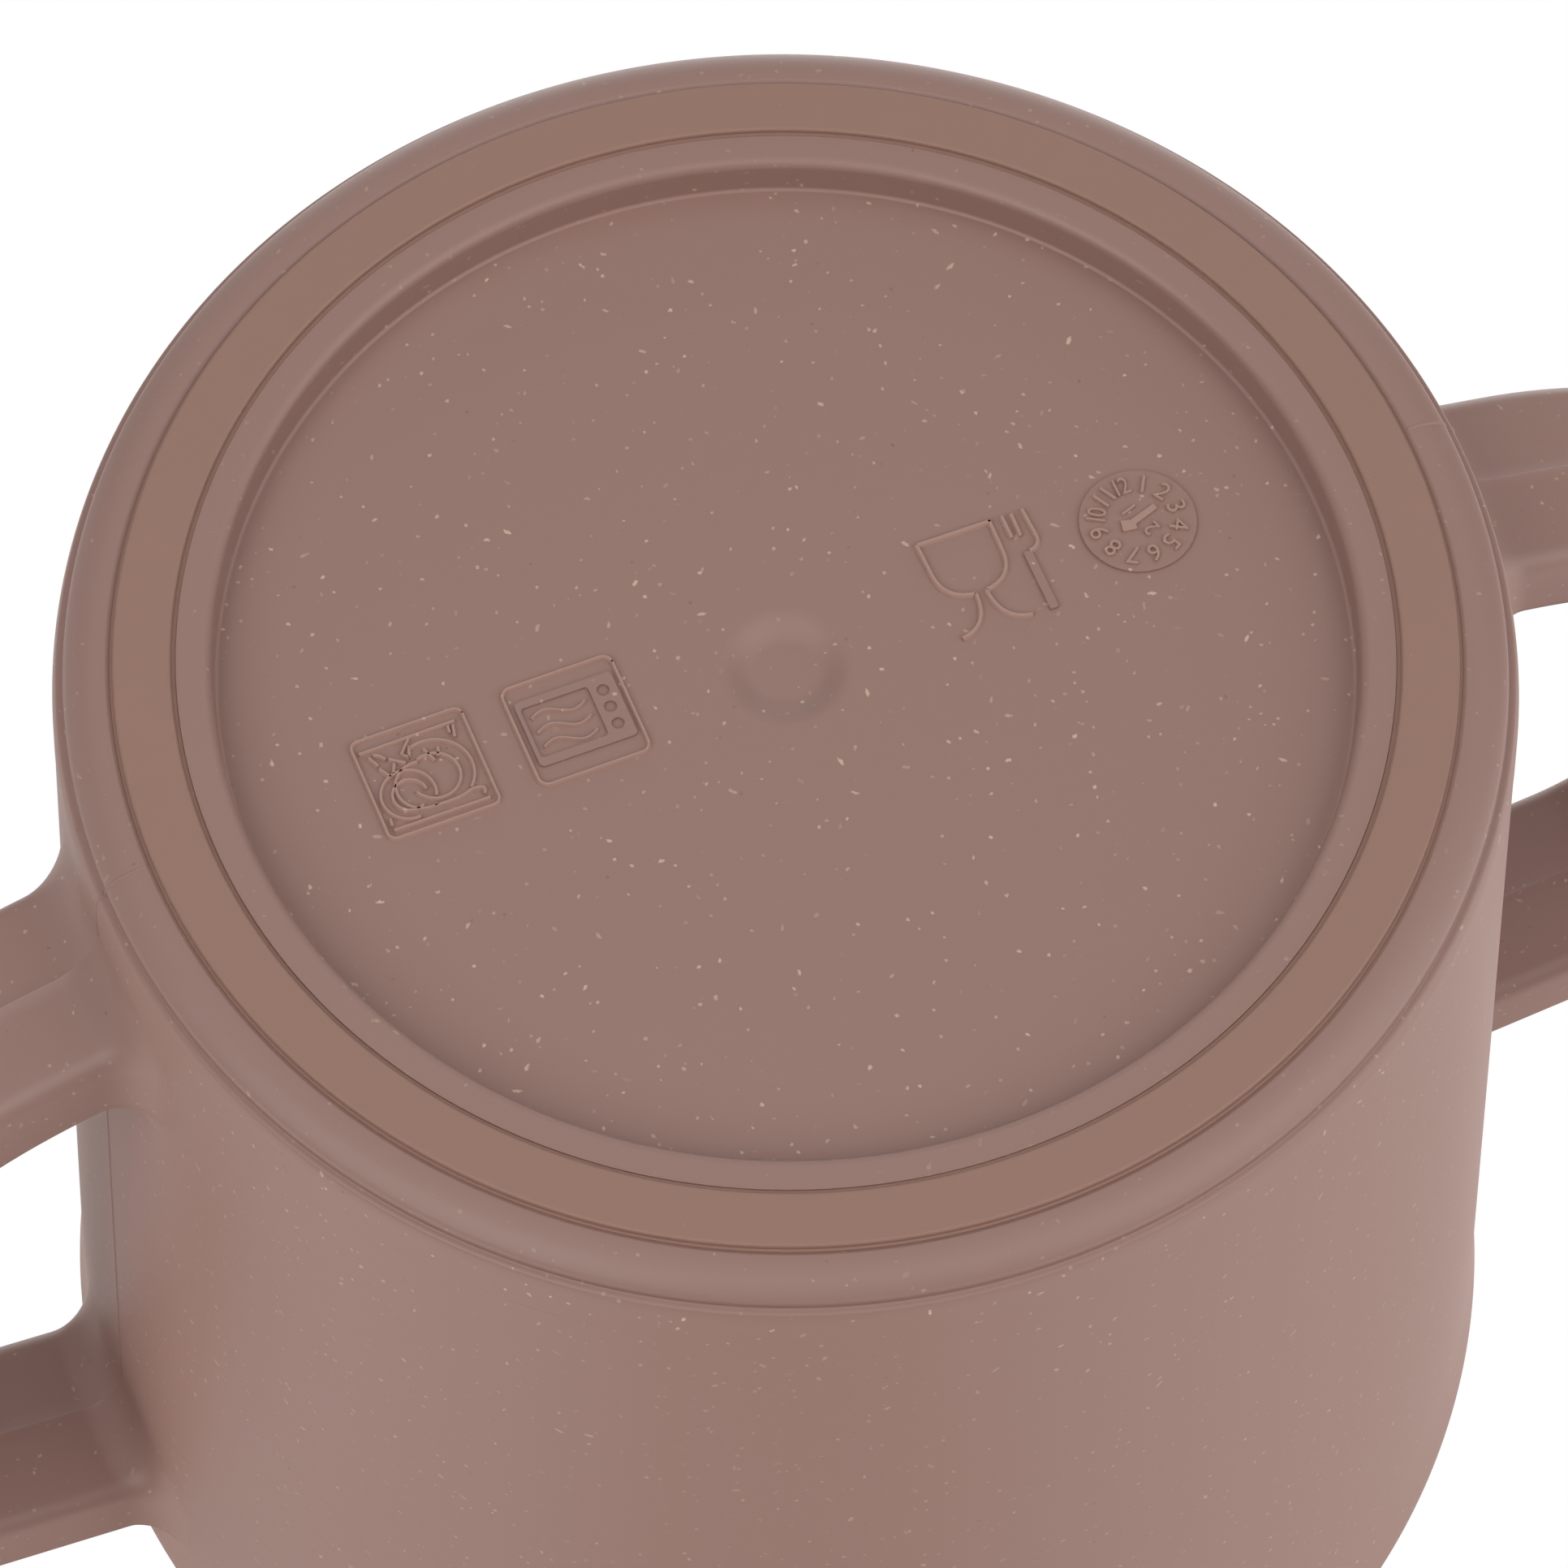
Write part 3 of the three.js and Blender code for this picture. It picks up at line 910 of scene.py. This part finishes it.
def figure(text, centre, height, turn, level):
    """A raised number that stands on a level, turned clockwise about its centre."""
    curve = bpy.data.curves.new("figure", "FONT")
    curve.body = text
    curve.space_character = FIGURE_SPACING
    curve.resolution_u = FIGURE_CURVE_STEPS
    places, heights, faces = raised_shape(curve)
    rights = [right for right, _ in places]
    ups = [up for _, up in places]
    scale = height / (max(ups) - min(ups))
    narrowing = min(1, FIGURE_WIDTH / ((max(rights) - min(rights)) * scale))
    points = []
    for (place_right, place_up), z in zip(places, heights):
        right = (place_right - (max(rights) + min(rights)) / 2) * scale * narrowing
        up = (place_up - (max(ups) + min(ups)) / 2) * scale
        points.append(Vector((
            centre[0] + right * math.cos(turn) + up * math.sin(turn),
            -(centre[1] - right * math.sin(turn) + up * math.cos(turn)),
            level - PLATE_HEIGHT * z,
        )))
    return points, faces


def date_dial():
    """The months round the dial, an arrow to one of them and two figures beside the arrow."""
    parts = []
    for month in range(1, 13):
        turn = math.radians(30 * month)
        place = (FIGURE_RADIUS * math.sin(turn), FIGURE_RADIUS * math.cos(turn))
        centre = shifted(DIAL_PLACE, [place])[0]
        parts.append(figure(str(month), centre, FIGURE_HEIGHT, turn, DIAL_LEVEL))
    arrow = [
        (1.05, 0.54), (1.14, 0.25), (-0.2, -0.2), (-0.24, -0.48),
        (-0.95, -0.37), (-0.84, 0.24), (-0.36, 0.1),
    ]
    parts.append(plate([shifted(DIAL_PLACE, arrow)], DIAL_LEVEL))
    for text, place in (("1", (-0.21, 0.68)), ("2", (0.4, -0.72))):
        centre = shifted(DIAL_PLACE, [place])[0]
        parts.append(figure(text, centre, CENTRE_FIGURE_HEIGHT, CENTRE_FIGURE_TURN, DIAL_LEVEL))
    return parts


def dial_plug():
    """The round plug that the dial's marks stand on."""
    return plate([turn_about(DIAL_PLACE, DIAL_RADIUS, 0, 355)])


# The stroked symbols and the dial's figures take the lighter plastic, a painted highlight; the plates under
# them keep the plain plastic
for name, parts in (
    ("dishwasher_symbol", dishwasher()),
    ("microwave_symbol", microwave()),
    ("glass_and_fork_symbol", glass_and_fork()),
    ("date_dial", date_dial()),
):
    make_piece(name, *joined(parts), "cup", "speckled_plastic", painted_highlight_plastic)
plates = [microwave_front(), fork_handle(), dial_plug()]
make_piece("symbol_plates", *joined(plates), "cup", "speckled_plastic", plastic)


# Anti-slip ring

def ring_profile():
    """The ring's section, with a raised face between two ledges."""
    inner = GROOVE_INNER + RING_GAP
    outer = GROOVE_OUTER - RING_GAP
    return rounded([
        (inner, GROOVE_Z, 0),
        (inner, RING_LEDGE_HEIGHT, 0),
        (inner + RING_INNER_LEDGE, RING_LEDGE_HEIGHT, 0),
        (inner + RING_INNER_LEDGE, 0, RING_ROUNDING),
        (outer - RING_OUTER_LEDGE, 0, RING_ROUNDING),
        (outer - RING_OUTER_LEDGE, RING_LEDGE_HEIGHT, 0),
        (outer, RING_LEDGE_HEIGHT, 0),
        (outer, GROOVE_Z, 0),
    ])


ring = make_piece("ring_skin", *revolve(ring_profile(), closed=True), "ring", "soft_ring", silicone)
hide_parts("anti_slip_ring")


# Camera, in the place that was fitted to the photograph

CAMERA_AIM = Vector((-3.02, 7.13, BASE_Z))
CAMERA_DISTANCE = 422.2
CAMERA_HEADING = math.radians(-67.12)
CAMERA_TILT = math.radians(60.49)
CAMERA_ROLL = math.radians(0.85)
CAMERA_LENS = 202.4
CLIP_START = 0.01
CLIP_END = 20


def direction(heading, rise):
    """A unit direction from its heading about +Z and its rise above the level."""
    level = math.cos(rise)
    return Vector((math.cos(heading) * level, math.sin(heading) * level, math.sin(rise)))


def add_camera():
    """The camera under the cup, which sees the base at the top of its picture."""
    forward = direction(CAMERA_HEADING, CAMERA_TILT)
    level_right = forward.cross(Vector((0, 0, -1))).normalized()
    level_up = level_right.cross(forward)
    right = level_right * math.cos(CAMERA_ROLL) + level_up * math.sin(CAMERA_ROLL)
    up = right.cross(forward)
    data = bpy.data.cameras.new("camera")
    data.lens = CAMERA_LENS
    data.clip_start = CLIP_START
    data.clip_end = CLIP_END
    camera = bpy.data.objects.new("camera", data)
    bpy.context.scene.collection.objects.link(camera)
    turn = Matrix((right, up, -forward)).transposed().to_4x4()
    camera.matrix_world = Matrix.Translation((CAMERA_AIM - forward * CAMERA_DISTANCE) * MM) @ turn
    bpy.context.scene.camera = camera


# Light and floor

# White that the cup mirrors: a backdrop under its far side, and a table at its sides and behind it.
# The photograph shows the cup turned over, so that the table is above it here.
# A range holds two cosines of the angle to a direction, between which the white sets in.
BACKDROP_HEADING = math.radians(-67)
BACKDROP_RISE = math.radians(-60)
BACKDROP_RANGE = (0.2, 1)
TABLE_HEADING = math.radians(22)
TABLE_LEVEL = 0.62
TABLE_SIDE_RANGE = (0.15, 0.6)
TABLE_BACK_RANGE = (0.2, 0.5)
TABLE_RISE_RANGE = (0, 0.4)

# Lamps and the floor, in metres
LAMP_DISTANCE = 1.0
LAMP_SIZE = 0.9
STAGE_SIZE = 4.0
STAGE_TONE = linear(238, 238, 238)

# Lamps: name, heading and rise in degrees, power in watts
LAMPS = (
    ("front_left_softbox", 157, -45, 6.3),
    ("front_right_softbox", 45, -45, 5),
    ("base_softbox", 0, -90, 0.5),
    ("front_softbox", 113, -15, 0.6),
    ("right_softbox", 22, 0, 4.2),
    ("left_softbox", 222, 0, 2),
    ("back_softbox", 292, -60, 0.6),
    ("far_softbox", 292, 5, 4.5),
)

# Light that the room throws back, which the cup doesn't mirror: the same values
BOUNCES = (
    ("front_bounce", 67, 40, 5.6),
    ("left_bounce", 157, 40, 7.2),
    ("far_bounce", 247, 40, 3.5),
    ("right_bounce", 337, 40, 7),
)


def add_world():
    """A white background for the camera, and the white that the cup mirrors."""
    world = bpy.data.worlds.new("studio")
    bpy.context.scene.world = world
    world.use_nodes = True
    tree = world.node_tree
    tree.nodes.clear()
    path = node(tree, "ShaderNodeLightPath", {})
    way = node(tree, "ShaderNodeTexCoord", {}).outputs["Generated"]
    facing = calculate_vector(tree, "DOT_PRODUCT", way, direction(BACKDROP_HEADING, BACKDROP_RISE))
    backdrop = ramp(tree, facing, *BACKDROP_RANGE, 0, 1)
    aside = calculate_vector(tree, "DOT_PRODUCT", way, direction(TABLE_HEADING, 0))
    aside = calculate(tree, "ABSOLUTE", aside)
    behind = calculate_vector(tree, "DOT_PRODUCT", way, direction(BACKDROP_HEADING, 0))
    table_sides = ramp(tree, aside, *TABLE_SIDE_RANGE, 0, TABLE_LEVEL)
    table_back = ramp(tree, behind, *TABLE_BACK_RANGE, 0, 1)
    table = calculate(tree, "MAXIMUM", table_sides, table_back)
    rise = node(tree, "ShaderNodeSeparateXYZ", {0: way}).outputs[2]
    table = calculate(tree, "MULTIPLY", table, ramp(tree, rise, *TABLE_RISE_RANGE, 0, 1))
    white = calculate(tree, "MAXIMUM", backdrop, table)
    glossy = path.outputs["Is Glossy Ray"]
    mirrored = calculate(tree, "MAXIMUM", glossy, path.outputs["Is Transmission Ray"])
    mirrored = calculate(tree, "MULTIPLY", mirrored, white)
    level = calculate(tree, "MAXIMUM", path.outputs["Is Camera Ray"], mirrored)
    sky = node(tree, "ShaderNodeBackground", {"Color": (1, 1, 1, 1), "Strength": level})
    output = node(tree, "ShaderNodeOutputWorld", {})
    tree.links.new(sky.outputs[0], output.inputs["Surface"])


def add_lamp(name, heading, rise, power, mirrored):
    """A square soft lamp that faces the middle of the cup."""
    data = bpy.data.lights.new(name, "AREA")
    data.shape = "SQUARE"
    data.size = LAMP_SIZE
    data.energy = power
    lamp = bpy.data.objects.new(name, data)
    towards_lamp = direction(math.radians(heading), math.radians(rise))
    lamp.location = Vector((0, 0, RIM_Z / 2 * MM)) + towards_lamp * LAMP_DISTANCE
    lamp.rotation_euler = (-towards_lamp).to_track_quat("-Z", "Y").to_euler()
    lamp.visible_camera = False
    lamp.visible_glossy = mirrored
    bpy.context.scene.collection.objects.link(lamp)


def add_floor():
    """A pale floor that only the camera sees, and only from above, so that it doesn't hide the underside."""
    half = STAGE_SIZE / 2
    corners = [(-half, -half, 0), (half, -half, 0), (half, half, 0), (-half, half, 0)]
    mesh = bpy.data.meshes.new("floor")
    mesh.from_pydata(corners, [], [(0, 1, 2, 3)])
    floor = bpy.data.objects.new("floor", mesh)
    bpy.context.scene.collection.objects.link(floor)
    material = bpy.data.materials.new("floor")
    material.use_nodes = True
    tree = material.node_tree
    tree.nodes.clear()
    seen = node(tree, "ShaderNodeLightPath", {}).outputs["Is Camera Ray"]
    below = node(tree, "ShaderNodeNewGeometry", {}).outputs["Backfacing"]
    shown = calculate(tree, "MULTIPLY", calculate(tree, "SUBTRACT", 1.0, below), seen)
    clear = node(tree, "ShaderNodeBsdfTransparent", {})
    pale = node(tree, "ShaderNodeBsdfDiffuse", {"Color": STAGE_TONE})
    mixed = node(tree, "ShaderNodeMixShader", {0: shown, 1: clear.outputs[0], 2: pale.outputs[0]})
    output = node(tree, "ShaderNodeOutputMaterial", {})
    tree.links.new(mixed.outputs[0], output.inputs["Surface"])
    mesh.materials.append(material)
    floor.parent = frame["bodies"]["ring"]


add_camera()
add_world()
for lamp in LAMPS:
    add_lamp(*lamp, mirrored=True)
for lamp in BOUNCES:
    add_lamp(*lamp, mirrored=False)
add_floor()

bpy.context.scene.view_settings.view_transform = "Standard"
